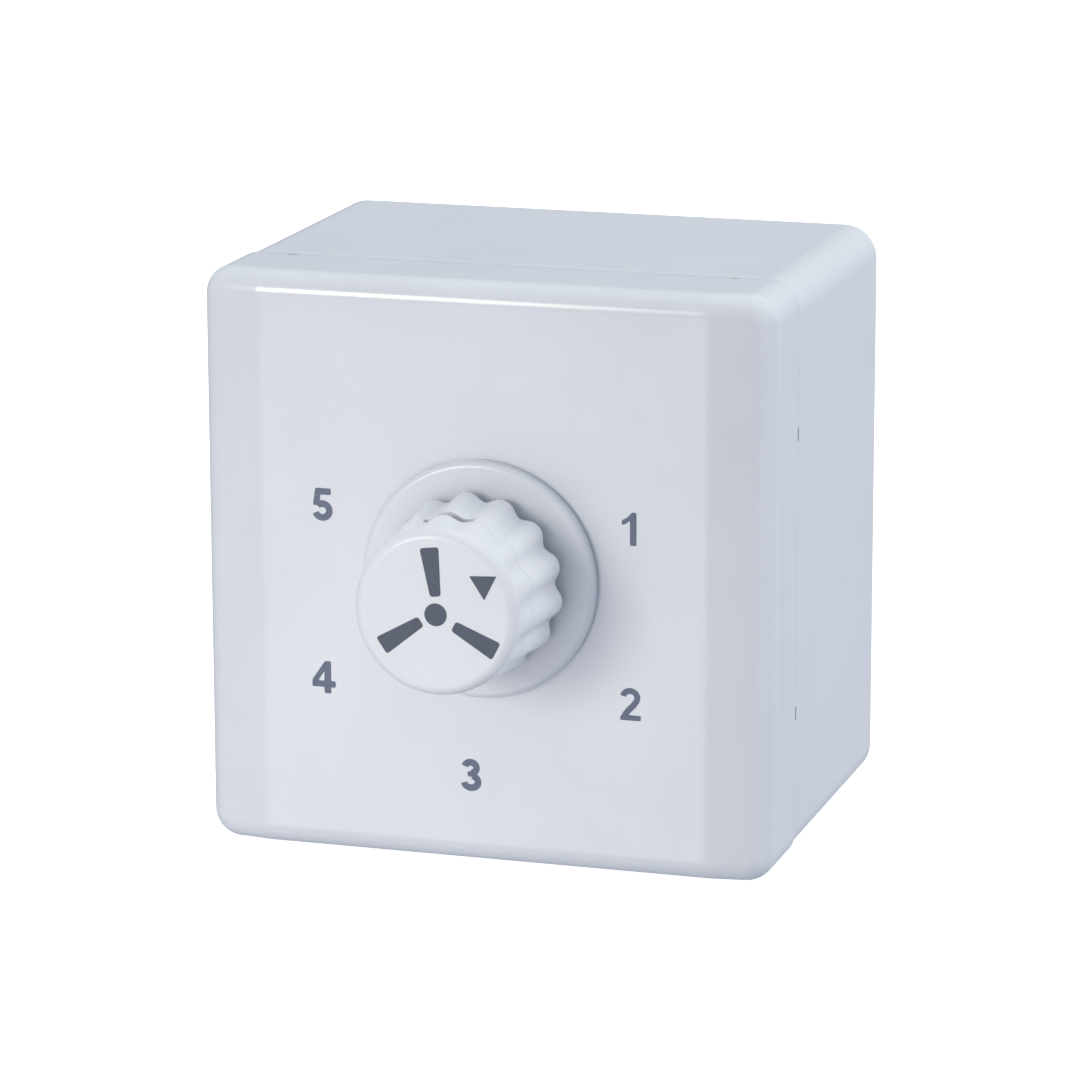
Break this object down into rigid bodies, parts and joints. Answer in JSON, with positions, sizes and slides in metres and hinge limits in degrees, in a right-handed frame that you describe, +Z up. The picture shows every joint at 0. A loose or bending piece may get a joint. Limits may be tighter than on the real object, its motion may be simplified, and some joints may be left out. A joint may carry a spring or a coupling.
{
  "type": "fan speed controller",
  "caption": "Wall fan speed controller: square push-on cover over a deep surface box, round collar, fluted knob with fan mark and pointer, numbered steps, tapped choke and rotary switch.",
  "frame": {"origin": "centre of the box's back face, on the wall", "axes": "+Y into the wall, the knob faces -Y, +X to the right seen from the front, +Z up"},
  "size_m": [0.086, 0.0835, 0.086],
  "materials": {
    "shell": "glossy white",
    "knob": "satin white",
    "zinc": "zinc plated",
    "lamination": "varnished laminations",
    "brass": "bright",
    "spring": "spring bronze",
    "copper": "enamelled copper wire",
    "nylon": "natural",
    "phenolic": "moulded brown",
    "tape": "polyester tape",
    "rubber": "moulded",
    "lead": "insulation"
  },
  "bodies": {
    "controller": {"block_screw": "zinc", "bobbin": "nylon", "bracket_rivet_bottom": "zinc", "bracket_rivet_top": "zinc", "brass_insert_left": "brass", "brass_insert_right": "brass", "bush_nut": "brass", "cable_grommet": "rubber", "choke_bracket_bottom": "zinc", "choke_bracket_top": "zinc", "clamp_fan": "brass", "clamp_live": "brass", "clamp_screw_fan_inner": "zinc", "clamp_screw_fan_outer": "zinc", "clamp_screw_live_inner": "zinc", "clamp_screw_live_outer": "zinc", "coil_tape": "tape", "common_contact": "brass", "common_lead": "lead", "core_bolt_left_bottom": "zinc", "core_bolt_left_top": "zinc", "core_bolt_right_bottom": "zinc", "core_bolt_right_top": "zinc", "core_e_stack": "lamination", "core_i_stack": "lamination", "detent_ball": "zinc", "detent_spring": "spring", "dial_collar": "shell", "earth_screw": "brass", "frame_screw_left": "zinc", "frame_screw_right": "zinc", "front_cover": "shell", "lock_washer": "zinc", "mounting_frame": "zinc", "speed_contact_1": "brass", "speed_contact_2": "brass", "speed_contact_3": "brass", "speed_contact_4": "brass", "speed_contact_5": "brass", "surface_box": "shell", "switch_base": "phenolic", "switch_cover": "phenolic", "switch_rivet_left": "brass", "switch_rivet_right": "brass", "tap_lead_1": "lead", "tap_lead_2": "lead", "tap_lead_3": "lead", "tap_lead_4": "lead", "tap_lead_5": "lead", "terminal_block": "nylon", "threaded_bush": "brass", "winding": "copper", "winding_end_lead": "lead"},
    "control": {"control_shaft": "zinc", "index_wheel": "nylon", "knob_body": "knob", "knob_cap": "knob", "knob_clip": "spring", "switch_rotor": "nylon", "wiper": "spring"}
  },
  "joints": [
    {"name": "control_turn", "type": "hinge", "parent": "controller", "child": "control", "pos_m": [0, -0.05, 0], "axis": [0, 1, 0], "range_deg": [-60, 240]}
  ]
}
